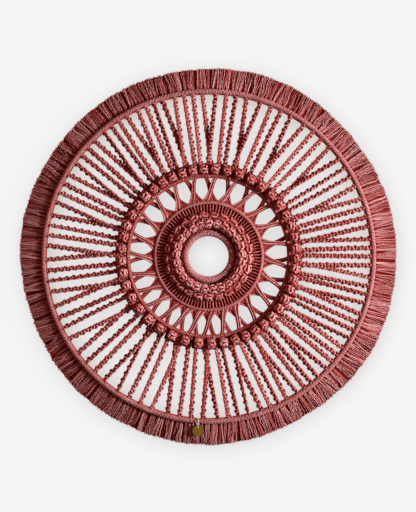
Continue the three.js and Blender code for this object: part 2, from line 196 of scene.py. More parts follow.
# Lattice bundles: two bands of cords that cross
LATTICE_BAND = 4  # cords in a band
LATTICE_WIDTHS = (24.5, 14.5, 17.0)  # between its outer cords, at the inner hoop, waist and middle hoop
LATTICE_POWERS = (1.7, 1.4, 5)  # of the distances by which it widens to each hoop and flares
LATTICE_HALF = (1.04, 1.0)  # half-sizes of a cord
LATTICE_FLAT = 0.6  # more half-width at the inner hoop
LATTICE_STEPS = 15
LATTICE_FLARE = 5.0  # more width close to the middle hoop
LATTICE_WAIST_PLACE = 0.5  # as a share of the way out
LATTICE_COVER = 0.86  # how much of a half of the bundle a band covers at the inner hoop
LATTICE_PART = 0.48  # half of the gap between the bands at the middle hoop, as a share of the half width
LATTICE_SWAY = 1.3  # how far a band's outer end strays
LATTICE_LIFT = 1.5  # how far the bands bend apart to the front and back where they cross
LATTICE_STEP = 0.7  # how far every second cord of a band lies behind its neighbours
LATTICE_STRAY = (0.25, 0.2)  # how far a cord strays across, and to the front and back

# Fringe: cord ends that fray into yarns, over a backing of loose yarn painted dark as the shade behind them
FRINGE_CORDS = 270
FRINGE_YARNS = 12  # that one cord end frays into
FRINGE_ROOT = 1.0  # half-width of a cord end where it leaves the hoop
FRINGE_YARN = 0.5  # half-thickness of a yarn
FRINGE_BACKING = 1500  # flat tufts of loose yarn behind the cords, painted dark as shade
FRINGE_TUFT = (1.2, 0.7)  # half-sizes of a tuft
FRINGE_DEPTHS = (1.4, 2.6)  # of the cords and of the backing at the hoop
FRINGE_LENGTH = 34.0
FRINGE_DROOP = 6.5  # how far the tips fall back
FRINGE_SPREAD = 4.6  # how many times as wide a cord end is at its frayed tip
FRINGE_RAGGED = 0.45  # how unevenly the tips are cut
TRIM_WAVES = ((1.1, 4, 0.6), (0.9, 7, -1.0), (0.4, 31, 0.0))  # height, count and phase of the trimming's waves
LEAN_WAVES = ((2.52, 29, 3, 5), (1.98, 67, 2, 9))  # height and count of the lean's waves, and how they drift
LEAN_STRAY = 1.6  # how far a cord end leans by itself
LEAN_POWER = 1.3  # of the share of its length, by which it leans
LIFT_STRAY = 1.2  # how far its tip lies in front or behind
CURL_STRAY = (1.5, 0.25)  # how far a cord end and one yarn of it wave
SPREAD_POWER = 0.8  # and by which its yarns spread
DEPTH_SPREAD = 0.8  # more depth of a cord end at its tip, as a share
YARN_FACING = 85  # degrees to each side that the yarns lie round the front of a cord end
YARN_STRAY = (0.15, 0.6)  # how far a yarn strays across and back at the hoop
TUFT_STRAY = 0.3  # how far a tuft leans
FRINGE_STEPS = 6
TUFT_SIDES = 4
YARN_SIDES = 5
FRINGE_SWEEP = 180.0  # degrees of the hoop that each half of the fringe covers
TUFT_PLACES = (0.3, 0.7)  # where a tuft starts in its share of the hoop, at random
LOCK_PLACES = (0.25, 0.75)  # the same for a cord end
RING_ROOM = 3.2  # how far the cord ends part on each side of the jump ring
RING_DIP = (1.6, 0.3)  # how far out and back the cord on the outer hoop dips under the jump ring
RING_DIP_REACH = 4.0  # how far along the hoop
RING_PRESS = 0.28  # how much thinner the turns of cord are there, as a share

# Brass tag
TAG_RIM = 1.1  # width of the raised rim
TAG_RIM_HEIGHT = 0.35
TAG_EDGE = 0.25  # taken off the edges
TAG_HOLE = 3.0
TAG_HOLE_OFFSET = 5.6  # above the disc's middle
TAG_WIRE = 1.2  # of the jump ring
TAG_STEPS = 96
JUMP_RING_STEPS = 48
DULL_BRASS = ((0.13, 0.06, 0.006), (0.235, 0.135, 0.024))  # tarnished and bright
# a paler copy of the same brass for the jump ring: painted light standing in for the glint on its wire
PAINTED_GLINT_BRASS = ((0.38, 0.32, 0.21), (0.66, 0.59, 0.44))

# Picture: width and height in pixels, millimetres of the face that one pixel shows, and the face's middle
PICTURE = (416, 512)
PIXEL = 1.515
FACE_PIXEL = (208.6, 256.3)
LENS = 85.0
SENSOR = 36.0

# Set, in metres: the wall's distance behind the origin, the floor's height, and how far both reach
WALL_PLACE = 0.03
FLOOR_PLACE = -1.1
SET_REACH = 3.0

# Light
WINDOW_ANGLES = (28, 5)  # degrees out of the face's plane, and up from the right
WINDOW_DISTANCE = 1.95
WINDOW_ENERGY = 56.0
WINDOW_SIZE = 0.4
BACK_WINDOW_PLACE = (-0.25, 2.0, 0.3)
BACK_WINDOW_ENERGY = 26.0
BACK_WINDOW_SIZE = 0.5
ROOM_GLOW = (1.0, 0.36, 0.26, 1)
ROOM_GLOW_STRENGTH = 0.25
ROOM_SEEN = (0.88, 0.88, 0.87, 1)

Shape = namedtuple("Shape", "points corners sizes uv shade open")
Bar = namedtuple("Bar", "radius depth")


# The frame's own places

def face_middle():
    """The middle of the outer hoop's box, in millimetres of the frame."""
    low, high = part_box("outer_hoop")
    return np.array((low + high) / 2) / MM


FACE_MIDDLE = face_middle()


def node_points(node):
    """A solid's corners in millimetres about the middle of the face."""
    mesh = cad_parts[node].data
    flat = np.empty(len(mesh.vertices) * 3, np.float32)
    mesh.vertices.foreach_get("co", flat)
    return flat.reshape(-1, 3).astype(float) / MM - FACE_MIDDLE


def hoop_bar(node):
    """A hoop's bar: the mean distance of its wire's corners from the middle, and their mean depth."""
    points = node_points(node)
    return Bar(np.hypot(points[:, 0], points[:, 2]).mean(), points[:, 1].mean())


def clocks_of(points):
    """Clock angles of points, unwrapped about their common direction."""
    middle = np.degrees(np.arctan2(points[:, 0].mean(), points[:, 2].mean()))
    clock = np.degrees(np.arctan2(points[:, 0], points[:, 2]))
    return (clock - middle + 180) % 360 - 180 + middle


def groups(values, count):
    """Middles of a given number of clumps of values, parted at the widest gaps between them."""
    values = np.sort(values)
    cuts = np.sort(np.argsort(np.diff(values))[len(values) - count:]) + 1
    return np.array([(part[0] + part[-1]) / 2 for part in np.split(values, cuts)])


def spoke_places(node, outer):
    """Clock angles of a spoke's two berries, from their front tips, and of its four ends on the outer
    hoop."""
    points = node_points(node)
    clock = clocks_of(points)
    radius = np.hypot(points[:, 0], points[:, 2])
    tips = points[:, 1] < points[:, 1].min() + CORD / 4
    ends = radius > outer.radius - 3 * CORD
    return groups(clock[tips], 2), groups(clock[ends], 4)


def bundle_clock(node):
    """Clock angle of the middle of a lattice bundle."""
    clock = clocks_of(node_points(node))
    return (clock.min() + clock.max()) / 2


OUTER = hoop_bar("outer_hoop")
MIDDLE = hoop_bar("middle_hoop")
INNER = hoop_bar("inner_hoop")
CENTRE = hoop_bar("centre_ring")
LATTICE = sorted(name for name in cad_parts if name.startswith("lattice_"))
SPOKES = sorted(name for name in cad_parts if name.startswith("spoke_"))
RING_CLOCK = clocks_of(node_points("tag_ring")).mean()


def from_ring(clock):
    """How far along the outer hoop a clock angle lies from the jump ring, in millimetres."""
    return np.radians((clock - RING_CLOCK + 180) % 360 - 180) * OUTER.radius


def under_ring(clock):
    """1 at the jump ring, falling by a bell curve of the distance from it along the outer hoop."""
    return np.exp(-(from_ring(clock) / RING_DIP_REACH) ** 2)


# Surfaces

def on_face(radius, clock, depth):
    """Points at radii and clock angles: radius times sine across, radius times cosine up, at a depth."""
    radius, turn, depth = np.broadcast_arrays(radius, np.radians(clock), depth)
    return np.stack([radius * np.sin(turn), depth, radius * np.cos(turn)], -1).astype(float)


def unit(vectors):
    """Vectors at length 1, each divided by its length."""
    return vectors / np.maximum(np.linalg.norm(vectors, axis=-1, keepdims=True), 1e-9)


def tubes(paths, outward, wide, thick, sides=6, closed=False, shade=None, open_side=1.0, open_back=0.0):
    """Cords along paths [cord, step, xyz]: round each step an ellipse square to the path, its thick axis
    towards outward and its wide axis across, at equal angles. The grid runs along the path and round the
    ellipse, and an open cord gets flat ends. The map's first axis goes round once, and its second is the
    length in millimetres from a start that differs with the cord's shade.
    Openness is painted shade, dark at the sides: it rises from 0 there to open_back on the side away from
    outward, and from 0 there to open_side, given for each cord and step, on the side towards it. The larger of
    the two counts."""
    cords, steps = paths.shape[:2]
    ahead = np.roll(paths, -1, 1) - np.roll(paths, 1, 1) if closed else np.gradient(paths, axis=1)
    ahead = unit(ahead)
    out = np.broadcast_to(outward, paths.shape)
    out = unit(out - (out * ahead).sum(-1, keepdims=True) * ahead)
    across = np.cross(ahead, out)
    turn = np.arange(sides) * 2 * np.pi / sides
    wide, thick = (np.broadcast_to(size, (cords, steps))[..., None, None] for size in (wide, thick))
    rings = paths[:, :, None] + wide * np.cos(turn)[:, None] * across[:, :, None]
    rings = rings + thick * np.sin(turn)[:, None] * out[:, :, None]

    if shade is None:
        shade = RANDOM.uniform(-1, 1, cords)
    index = np.arange(cords * steps * sides).reshape(cords, steps, sides)
    spans = steps if closed else steps - 1
    gaps = np.linalg.norm(np.diff(paths, axis=1, append=paths[:, :1]), axis=-1)
    along = np.concatenate([np.zeros((cords, 1)), np.cumsum(gaps, 1)], 1)[:, :spans + 1]
    along = along + LAY * shade[:, None]
    corners, uv = grid_faces(index, spans, along)
    sizes = np.full(len(corners) // 4, 4)
    if not closed:
        ends = np.concatenate([index[:, 0], index[:, -1, ::-1]])
        corners = np.concatenate([corners, ends.ravel()])
        sizes = np.concatenate([sizes, np.full(len(ends), sides)])
        uv = np.concatenate([uv, np.zeros((ends.size, 2))])
    shades = np.broadcast_to(np.reshape(shade, (cords, 1, 1)), (cords, steps, sides))
    # painted shade: dark at the sides, lighter towards the front and the back
    bare = np.broadcast_to(np.atleast_2d(open_side), (cords, steps))[..., None]
    bare = np.maximum(bare * (0.5 + 0.5 * np.sin(turn)), -open_back * np.sin(turn))
    return Shape(rings.reshape(-1, 3), corners, sizes, uv, shades.ravel(), bare.ravel())


def grid_faces(index, spans, along):
    """Four-cornered faces of a grid [cord, step, side] that closes round its sides, with their corners' map
    places: the share of the way round, and the length along."""
    sides = index.shape[2]
    here, ahead = index[:, :spans], np.roll(index, -1, 1)[:, :spans]
    corners = np.stack([here, ahead, np.roll(ahead, -1, 2), np.roll(here, -1, 2)], -1)
    start, end = along[:, :spans, None], along[:, 1:, None]
    left, right = np.arange(sides) / sides, (np.arange(sides) + 1) / sides
    places = [(left, start), (left, end), (right, end), (right, start)]
    uv = np.stack([np.stack(np.broadcast_arrays(*place), -1) for place in places], -2)
    return corners.ravel(), uv.reshape(-1, 2)


def joined(shapes):
    """Several shapes as one, with the corner numbers of each moved past those before it."""
    offsets = np.cumsum([0] + [len(shape.points) for shape in shapes[:-1]])
    return Shape(
        np.concatenate([shape.points for shape in shapes]),
        np.concatenate([shape.corners + offset for shape, offset in zip(shapes, offsets)]),
        np.concatenate([shape.sizes for shape in shapes]),
        np.concatenate([shape.uv for shape in shapes]),
        np.concatenate([shape.shade for shape in shapes]),
        np.concatenate([shape.open for shape in shapes]),
    )


def piece(name, shape, finish, slot, body, *nodes, sharp=METAL_SHARP):
    """A mesh of a shape, moved from the face's middle to its place in the frame, riding on a body."""
    mesh = bpy.data.meshes.new(name)
    mesh.vertices.add(len(shape.points))
    mesh.vertices.foreach_set("co", ((shape.points + FACE_MIDDLE) * MM).astype(np.float32).ravel())
    mesh.loops.add(len(shape.corners))
    mesh.loops.foreach_set("vertex_index", shape.corners.astype(np.int32))
    mesh.polygons.add(len(shape.sizes))
    mesh.polygons.foreach_set("loop_start", (np.cumsum(shape.sizes) - shape.sizes).astype(np.int32))
    mesh.update(calc_edges=True)
    mesh.uv_layers.new(name="cord").data.foreach_set("uv", shape.uv.astype(np.float32).ravel())
    # each cord's own random tone, and its openness, the painted shade
    for kind, values in (("shade", shape.shade), ("open", shape.open)):
        mesh.attributes.new(kind, "FLOAT", "POINT").data.foreach_set("value", values.astype(np.float32))
    mesh.polygons.foreach_set("use_smooth", np.ones(len(shape.sizes), bool))
    mesh.set_sharp_from_angle(angle=sharp)
    mesh.validate()
    mesh.materials.append(finish)
    made = bpy.data.objects.new(name, mesh)
    bpy.context.scene.collection.objects.link(made)
    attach(made, body)
    if nodes:
        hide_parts(*nodes)


# Shaders

class Value:
    """A socket whose arithmetic adds Math nodes to its tree."""

    def __init__(self, tree, socket):
        self.tree = tree
        self.socket = socket

    def math(self, operation, first, second=0.0):
        node = add_node(self.tree, "ShaderNodeMath", {"operation": operation}, {0: first, 1: second})
        return Value(self.tree, node.outputs[0])

    def __add__(self, other):
        return self.math("ADD", self, other)

    def __sub__(self, other):
        return self.math("SUBTRACT", self, other)

    def __rsub__(self, other):
        return self.math("SUBTRACT", other, self)

    def __mul__(self, other):
        return self.math("MULTIPLY", self, other)

    def __truediv__(self, other):
        return self.math("DIVIDE", self, other)

    def __pow__(self, other):
        return self.math("POWER", self, other)

    def fraction(self):
        return self.math("FRACT", self)


def add_node(tree, kind, settings=None, inputs=None):
    """Any node: its settings first, then each input as a value or a link. A ramp's stops are a setting."""
    node = tree.nodes.new(kind)
    for name, value in (settings or {}).items():
        if name == "stops":
            ramp = node.color_ramp.elements
            while len(ramp) < len(value):
                ramp.new(1.0)
            for element, (place, colour) in zip(ramp, value):
                element.position, element.color = place, (*colour, 1)
        else:
            setattr(node, name, value)
    for name, value in (inputs or {}).items():
        if isinstance(value, Value):
            tree.links.new(value.socket, node.inputs[name])
        else:
            node.inputs[name].default_value = value
    return node


def new_finish(name):
    """A bare material: its tree, and its Principled shader."""
    material = bpy.data.materials.new(name)
    material.use_nodes = True
    tree = material.node_tree
    return material, tree, tree.nodes["Principled BSDF"]


def output(tree, kind, socket, settings=None, inputs=None):
    """One output of a new node, as a value."""
    return Value(tree, add_node(tree, kind, settings, inputs).outputs[socket])


def mixed(tree, share, first, second):
    """A colour between two colours."""
    node = add_node(tree, "ShaderNodeMix", {"data_type": "RGBA"}, {0: share, 6: first, 7: second})
    return Value(tree, node.outputs[2])


def cotton_cord():
    """Twisted cotton: plies wind round the cord, with uneven dye and fibres, and painted shade: darker in the
    grooves between the plies, darker by openness, and darkest in the crevices of the work."""
    material, tree, shader = new_finish("cotton_cord")
    uv = output(tree, "ShaderNodeUVMap", 0, {"uv_map": "cord"})
    parts = add_node(tree, "ShaderNodeSeparateXYZ", {}, {0: uv})
    around, along = (Value(tree, parts.outputs[i]) for i in (0, 1))
    # the plies' ridges, with painted shade in the grooves between them, which also make the bump
    phase = (around * PLIES + along / LAY).fraction()
    ridge = 1 - (phase * 2 - 1) ** 2
    place = output(tree, "ShaderNodeTexCoord", "Object")
    fibre = output(tree, "ShaderNodeTexNoise", 0, {}, {"Vector": place, "Scale": FIBRE_SCALE, "Detail": 3.0})
    dye = output(tree, "ShaderNodeTexNoise", 0, {}, {"Vector": place, "Scale": DYE_SCALE, "Detail": 2.0})
    shade = output(tree, "ShaderNodeAttribute", "Fac", {"attribute_name": "shade"})
    # openness, the painted shade of each place in the work
    bare = output(tree, "ShaderNodeAttribute", "Fac", {"attribute_name": "open"})
    plies, fibres, dyes, own, rest = TONE_PARTS
    tone = ridge * plies + fibre * fibres + dye * dyes + shade * own + rest
    # painted shade where other cords lie near
    clear = output(tree, "ShaderNodeAmbientOcclusion", "AO", {"samples": 4}, {"Distance": CREVICE_SHADE_REACH * MM})
    # painted light: openness times tone times the painted crevice shade
    light = bare * tone * (clear * CREVICE_SHADE_LIGHT[0] + CREVICE_SHADE_LIGHT[1])
    colour = output(tree, "ShaderNodeValToRGB", 0, {"stops": COTTON_AND_SHADE_TONES}, {0: light})
    tree.links.new(colour.socket, shader.inputs["Base Color"])
    rough = 0.95 - fibre * 0.2
    tree.links.new(rough.socket, shader.inputs["Roughness"])
    bump = output(tree, "ShaderNodeBump", 0, {}, {
        "Strength": 0.6, "Distance": 0.35 * MM, "Height": ridge * 0.7 + fibre * 0.4})
    tree.links.new(bump.socket, shader.inputs["Normal"])
    shader.inputs["Specular IOR Level"].default_value = 0.05
    shader.inputs["Specular Tint"].default_value = (1.0, 0.3, 0.25, 1)
    return material


def drawn_wire():
    """Plain drawn wire: grey metal with a fine grain that varies its colour and roughness."""
    material, tree, shader = new_finish("drawn_wire")
    place = output(tree, "ShaderNodeTexCoord", "Object")
    grain = output(tree, "ShaderNodeTexNoise", 0, {}, {"Vector": place, "Scale": 900.0, "Detail": 2.0})
    colour = mixed(tree, grain, *WIRE_TONES)
    tree.links.new(colour.socket, shader.inputs["Base Color"])
    tree.links.new((grain * 0.2 + 0.3).socket, shader.inputs["Roughness"])
    shader.inputs["Metallic"].default_value = 1.0
    return material


def brass(name, tarnished, bright):
    """Satin brass: patches of tarnish that are browner and rougher, and a fine grain."""
    material, tree, shader = new_finish(name)
    place = output(tree, "ShaderNodeTexCoord", "Object")
    tarnish = output(tree, "ShaderNodeTexNoise", 0, {}, {"Vector": place, "Scale": 260.0, "Detail": 4.0})
    fine = output(tree, "ShaderNodeTexNoise", 0, {}, {"Vector": place, "Scale": 2600.0, "Detail": 2.0})
    colour = mixed(tree, tarnish, (*tarnished, 1), (*bright, 1))
    tree.links.new(colour.socket, shader.inputs["Base Color"])
    tree.links.new((0.7 - tarnish * 0.3).socket, shader.inputs["Roughness"])
    bump = output(tree, "ShaderNodeBump", 0, {}, {
        "Strength": 0.25, "Distance": 0.08 * MM, "Height": fine + tarnish})
    tree.links.new(bump.socket, shader.inputs["Normal"])
    shader.inputs["Metallic"].default_value = 1.0
    return material


# Hoops

def ring_path(bar, steps):
    """Points round a hoop's bar at equal angles."""
    return on_face(bar.radius, np.arange(steps) * 360 / steps, bar.depth)[None]


def hoop_wire(bar, half):
    """The bare wire: a circle carried round the hoop."""
    path = ring_path(bar, HOOP_STEPS)
    return tubes(path, (0, 1, 0), half, half, sides=HOOP_SIDES, closed=True)


def wound_turns(bar, wire, thickness, turns, bare, start=0.0, sweep=360.0, slope=0.0, press=0.0):
    """Cord wound on a bar: a point circles the bar while it goes round the hoop, so many turns in the sweep.
    The circle is sheared by the slope, so that its outer side lies further back than its inner side. Under
    the jump ring the cord is thinner by the share press, by a bell curve of the distance from it."""
    closed = sweep == 360.0
    count = turns * TURN_STEPS
    share = np.arange(count) / count
    clock = start + sweep * share
    spin = 2 * np.pi * turns * share
    half = thickness / 2 * (1 - press * under_ring(clock))
    reach = wire + half
    depth = bar.depth + reach * (np.sin(spin) + slope * np.cos(spin))
    path = on_face(bar.radius + reach * np.cos(spin), clock, depth)
    outward = path - on_face(bar.radius, clock, bar.depth)
    room = np.radians(sweep) * bar.radius / turns / 2
    return tubes(path[None], outward[None], room * TURN_OVERLAP, half, closed=closed, shade=np.zeros(1),
                 open_side=bare)


def hitch_backs(start, sweep):
    """The cord that runs along the inner side of the outer hoop's hitches: a circle carried along an arc,
    which dips under the jump ring by a bell curve of the distance from it."""
    clock = np.linspace(start, start + sweep, HITCH_BACK_STEPS)
    dip = under_ring(clock)
    radius = OUTER.radius - HOOP_WIRE - OUTER_TURN_THICKNESS + CORD / 4 + RING_DIP[0] * dip
    path = on_face(radius, clock, OUTER.depth + CORD / 4 + RING_DIP[1] * dip)
    # painted darker than the hitches, as the shade inside the outer hoop
    return tubes(path[None], (0, -1, 0), HITCH_BACK, HITCH_BACK, shade=np.zeros(1), open_side=HITCH_BACK_OPEN)


def turns_on(bar, sweep=360.0):
    """How many turns of cord lie side by side on a bar in a sweep."""
    return round(np.radians(sweep) * bar.radius / TURN_PITCH)


# Knots

def half_knots(count, steps, lag, square, lead):
    """Two knotting cords of square knots, as [cord, step, (along in half-knots, across, front)].
    One swings across in front of the fillers in each half-knot and dives at the sides by the square of its
    swing, and the other goes behind and comes forward at the sides, a little later. Across is tanh(square c)
    of the cosine c, scaled to 1, which lingers at the sides, and the one in front goes a share lead as far."""
    along = np.linspace(0, count, count * steps + 1)
    phase = along - np.array([0.0, lag])[:, None]
    swing = np.tanh(square * np.cos(np.pi * phase)) / np.tanh(square)
    front = np.stack([along, lead * swing[0], 1 - KNOT_DIVE * swing[0] ** 2], -1)
    behind = np.stack([along, -swing[1], KNOT_COME * swing[1] ** 2 - 1], -1)
    return np.stack([front, behind])


def knot_painted_light(front, fade):
    """Openness of a knotting cord, its painted shade: it fades with how far the cord lies from standing forward,
    or from lying right at the back."""
    return KNOT_OPEN - fade * (1 - np.maximum(front, -KNOT_REAR - front))


def sennits(roots, ends, bends, phases, twists):
    """Square-knot sennits between pairs of points: the knots' across and front axes turn slowly along the
    line, and the whole line bends to the front by a bell curve of its length, and aside by a half sine."""
    knots = half_knots(2 * SENNIT_KNOTS, SENNIT_STEPS, SENNIT_LAG, SENNIT_SQUARE, SENNIT_LEAD)
    share = knots[0, :, 0] / (2 * SENNIT_KNOTS)
    count = len(roots)
    along = unit(ends - roots)
    front = np.array([0.0, -1.0, 0.0])
    across = np.cross(front, along)
    line = roots[:, None] + share[:, None] * (ends - roots)[:, None]
    bell = np.exp(-((share - 0.5) / SENNIT_BELL) ** 2)
    line = line + (bends[:, None] * bell)[..., None] * front
    wave = np.sin(np.pi * share)[None] * RANDOM.uniform(-SENNIT_WAVE, SENNIT_WAVE, (count, 1))
    line = line + wave[..., None] * across[:, None]
    angle = np.radians(twists)[:, None] * (share - 0.5) + np.radians(phases)[:, None]
    side = np.cos(angle)[..., None] * across[:, None] + np.sin(angle)[..., None] * front
    top = np.cos(angle)[..., None] * front - np.sin(angle)[..., None] * across[:, None]
    # the filler cords, painted darker as the shade behind the knots
    shapes = [tubes(line[:, ::SENNIT_STEPS], top[:, ::SENNIT_STEPS], *SENNIT_CORE, open_side=SENNIT_CORE_OPEN)]
    places = np.arange(2 * SENNIT_KNOTS + 1)
    for cord in knots:
        uneven = RANDOM.uniform(*SENNIT_UNEVEN, (count, len(places)))
        pull = np.array([np.interp(cord[:, 0], places, row) for row in uneven])
        swing = cord[:, 1] * SENNIT_SWING * pull
        out = swing[..., None] * side + cord[:, 2, None] * SENNIT_RISE * top
        # knotting cords painted darker as shade where they sink towards the fillers
        bare = SENNIT_OPEN * knot_painted_light(cord[:, 2], SENNIT_FADE)
        shapes.append(tubes(line + out, out, SENNIT_CORD, SENNIT_CORD, open_side=bare))
    return joined(shapes)


def unit_berry(phase):
    """A berry knot of unit size, about its middle: square knots rolled up round an axis that lies across.
    Along the knots becomes an angle of the roll, and front becomes its radius. The phase turns the roll, in
    half-knots, and the roll narrows to its ends by the root of a cosine. Its filling is an ellipsoid."""
    knots = half_knots(BERRY_HALF_KNOTS, BERRY_STEPS, BERRY_LAG, BERRY_SQUARE, 1.0)
    roll = 0.5 - (1 + BERRY_SWELL) * BERRY_CORD
    turn = np.radians(BERRY_ROLL) * ((knots[..., 0] + phase) / BERRY_HALF_KNOTS - 0.5)
    reach = roll + knots[..., 2] * BERRY_SWELL * BERRY_CORD
    bow = BERRY_BOW * np.cos(np.pi * knots[..., 0])
    across = knots[..., 1] * (0.5 - BERRY_CORD)
    narrow = BERRY_ENDS + (1 - BERRY_ENDS) * np.sqrt(np.maximum(np.cos(turn * BERRY_ROUND), 0))
    paths = np.stack([across * narrow + bow, -reach * np.cos(turn), reach * np.sin(turn)], -1)
    outward = np.stack([across, -0.5 * np.cos(turn), 0.5 * np.sin(turn)], -1)
    half = BERRY_CORD * (BERRY_THIN + BERRY_THICKEN * knots[..., 2])
    # berry cords painted darker as shade where they sink
    cords = tubes(paths, outward, half, half, open_side=knot_painted_light(knots[..., 2], BERRY_FADE))
    core = np.linspace(-BERRY_CORE[0], BERRY_CORE[0], BERRY_CORE_GRID[0])
    swell = BERRY_CORE[2] * np.sqrt(1 - (core / BERRY_CORE[1]) ** 2)
    axle = np.stack([core, 0 * core, 0 * core], -1)[None]
    # the filling, painted nearly dark as the shade inside the knot
    filling = tubes(axle, (0, -1, 0), swell, swell, sides=BERRY_CORE_GRID[1], open_side=BERRY_CORE_OPEN)
    return joined([cords, filling])


UNIT_BERRIES = [unit_berry(phase) for phase in np.linspace(-0.5, 0.5, BERRY_KINDS)]


def berries(kind, clocks):
    """Berry knots at clock angles: a unit berry scaled to size, leaned a little, and turned to its clock
    angle."""
    clocks = np.asarray(clocks)
    count = len(clocks)
    picks = RANDOM.integers(0, BERRY_KINDS, count)
    scaled = np.stack([knot.points for knot in UNIT_BERRIES])[picks] * np.array(kind["size"])
    lean = np.radians(RANDOM.uniform(-BERRY_LEAN, BERRY_LEAN, count))[:, None]
    x = scaled[..., 0] * np.cos(lean) + scaled[..., 2] * np.sin(lean)
    z = scaled[..., 2] * np.cos(lean) - scaled[..., 0] * np.sin(lean)
    turn = np.radians(clocks)[:, None]
    size = RANDOM.uniform(*BERRY_VARIES, (count, 1))
    seat = on_face(kind["radius"], clocks, kind["depth"])[:, None]
    right = x * np.cos(turn) + z * np.sin(turn)
    up = z * np.cos(turn) - x * np.sin(turn)
    points = np.stack([right, scaled[..., 1], up], -1) * size[..., None] + seat
    knots = [UNIT_BERRIES[pick] for pick in picks]
    # each kind of berry painted lighter or darker by its openness, as its shade
    return joined([knot._replace(points=place, open=knot.open * kind["bare"])
                   for knot, place in zip(knots, points)])


# The pieces of the face

def hub():
    """Straight radial cords from the centre ring to the inner hoop in two layers, and two staggered rows of
    berries."""
    ribs = HUB_REPEATS * RIBS_PER_REPEAT
    steps = np.linspace(0, 1, RIB_STEPS)
    clock = (np.arange(ribs) + 0.5) * 360 / ribs + RANDOM.uniform(-RIB_STRAY, RIB_STRAY, ribs)
    radius = RIB_REACH[0] + (RIB_REACH[1] - RIB_REACH[0]) * steps
    depth = RIB_DEPTHS[0] + (RIB_DEPTHS[1] - RIB_DEPTHS[0]) * steps
    front = tubes(on_face(radius, clock[:, None], depth), (0, -1, 0), *RIB_HALF, open_side=RIB_OPEN,
                  open_back=RIB_BACK_OPEN)
    # a layer of ribs behind, painted dark to stand for the shade in the gaps between the front ribs
    between = on_face(radius, clock[:, None] + 180 / ribs, BACK_RIB_DEPTH)
    back = tubes(between, (0, -1, 0), *BACK_RIB_HALF, open_side=BACK_RIB_OPEN, open_back=BACK_OPEN)
    high = np.arange(HUB_REPEATS) * 360 / HUB_REPEATS
    low = high + 180 / HUB_REPEATS
    return joined([front, back, berries(HIGH_BERRY, high), berries(LOW_BERRY, low)])


def lattice_bundle(clock):
    """Two bands of cords that cross: each cord has a place from -1 to 1 across the bundle, which moves evenly
    from one half at the inner hoop to the other at the middle hoop. The bundle's width grows from its waist by
    a power of the distance to each hoop, and the bands bend apart to the front and back by a half sine."""
    share = np.linspace(0, 1, LATTICE_STEPS)
    radius = INNER.radius + (MIDDLE.radius - INNER.radius) * share
    near = np.clip(1 - share / LATTICE_WAIST_PLACE, 0, 1)
    far = np.clip((share - LATTICE_WAIST_PLACE) / (1 - LATTICE_WAIST_PLACE), 0, 1)
    inner_width, waist, outer_width = LATTICE_WIDTHS
    inner_power, outer_power, flare_power = LATTICE_POWERS
    width = waist + (inner_width - waist) * near ** inner_power
    width = width + (outer_width - waist) * far ** outer_power + LATTICE_FLARE * far ** flare_power
    order = np.linspace(0, 1, LATTICE_BAND)[:, None]
    start, end = order * LATTICE_COVER - 1, LATTICE_PART + order * (1 - LATTICE_PART)
    place = start + (end - start) * share
    place = np.concatenate([place, -place])
    sway = RANDOM.uniform(-LATTICE_SWAY, LATTICE_SWAY, (2, 1)).repeat(LATTICE_BAND, 0)
    stray_across, stray_deep = LATTICE_STRAY
    across = place * width / 2 + sway * share
    across = across + RANDOM.uniform(-stray_across, stray_across, (2 * LATTICE_BAND, 1))
    side = np.repeat([-1.0, 1.0], LATTICE_BAND)[:, None]
    low = np.tile(np.arange(LATTICE_BAND) % 2, 2)
    depth = side * LATTICE_LIFT * np.sin(np.pi * share) + LATTICE_STEP * low[:, None]
    depth = depth + RANDOM.uniform(-stray_deep, stray_deep, (2 * LATTICE_BAND, 1))
    paths = on_face(radius, clock, depth) + on_face(across, clock + 90, 0.0)
    # cords behind their neighbours, and the band that crosses behind, are painted darker as shade
    bare = np.where(low, LATTICE_LOW_OPEN, LATTICE_OPEN) * np.where(side[:, 0] < 0, 1.0, LATTICE_UNDER)
    wide, thick = LATTICE_HALF
    return tubes(paths, (0, -1, 0), wide + LATTICE_FLAT * near, thick, open_side=bare[:, None],
                 open_back=BACK_OPEN)


def spoke(node):
    """Two berries on the middle hoop, each with a straight sennit and one that crosses its neighbour's, and the
    straight cords that rise under them, painted nearly dark as the shade between the berries."""
    berry_clocks, end_clocks = spoke_places(node, OUTER)
    roots, ends, bends = [], [], []
    for side, berry_clock in zip((-1, 1), berry_clocks):
        seat = on_face(MIDDLE.radius, berry_clock, 0.0)
        aside = on_face(SPOKE_PAIR / 2, berry_clock + 90, 0.0) * side
        straight, cross = (end_clocks[0], end_clocks[2]) if side < 0 else (end_clocks[3], end_clocks[1])
        roots += [seat + aside, seat - aside]
        ends += [on_face(OUTER.radius - HOOP_WIRE, clock, 0.0) for clock in (straight, cross)]
        bends += [0.0, -side * SENNIT_OVERLAP]
    twists = RANDOM.uniform(-SENNIT_TWIST, SENNIT_TWIST, 4)
    phases = RANDOM.uniform(-SENNIT_TWIST, SENNIT_TWIST, 4)
    knots = sennits(np.array(roots), np.array(ends), np.array(bends), phases, twists)
    steps = np.linspace(0, 1, ROOT_STEPS)
    order = np.linspace(-0.5, 0.5, BERRY_ROOTS)[:, None]
    rooted = order * ROOT_SPREAD * (1 - ROOT_NARROW * steps ** 2)
    rise = MIDDLE.radius + ROOT_REACH * steps
    stems = [on_face(rise, clock, ROOT_DEPTH - steps) + on_face(rooted, clock + 90, 0.0)
             for clock in berry_clocks]
    # the rising cords are painted nearly dark, standing for the shade between the berries
    stems = tubes(np.concatenate(stems), (0, -1, 0), *ROOT_HALF, open_side=ROOT_OPEN, open_back=BACK_OPEN)
    return joined([knots, stems, berries(SPOKE_BERRY, berry_clocks)])


def trimmed_length(clock):
    """Length of the fringe at a clock angle: slow waves that the trimming left."""
    turn = np.radians(clock)
    return FRINGE_LENGTH + sum(height * np.sin(count * turn + phase) for height, count, phase in TRIM_WAVES)


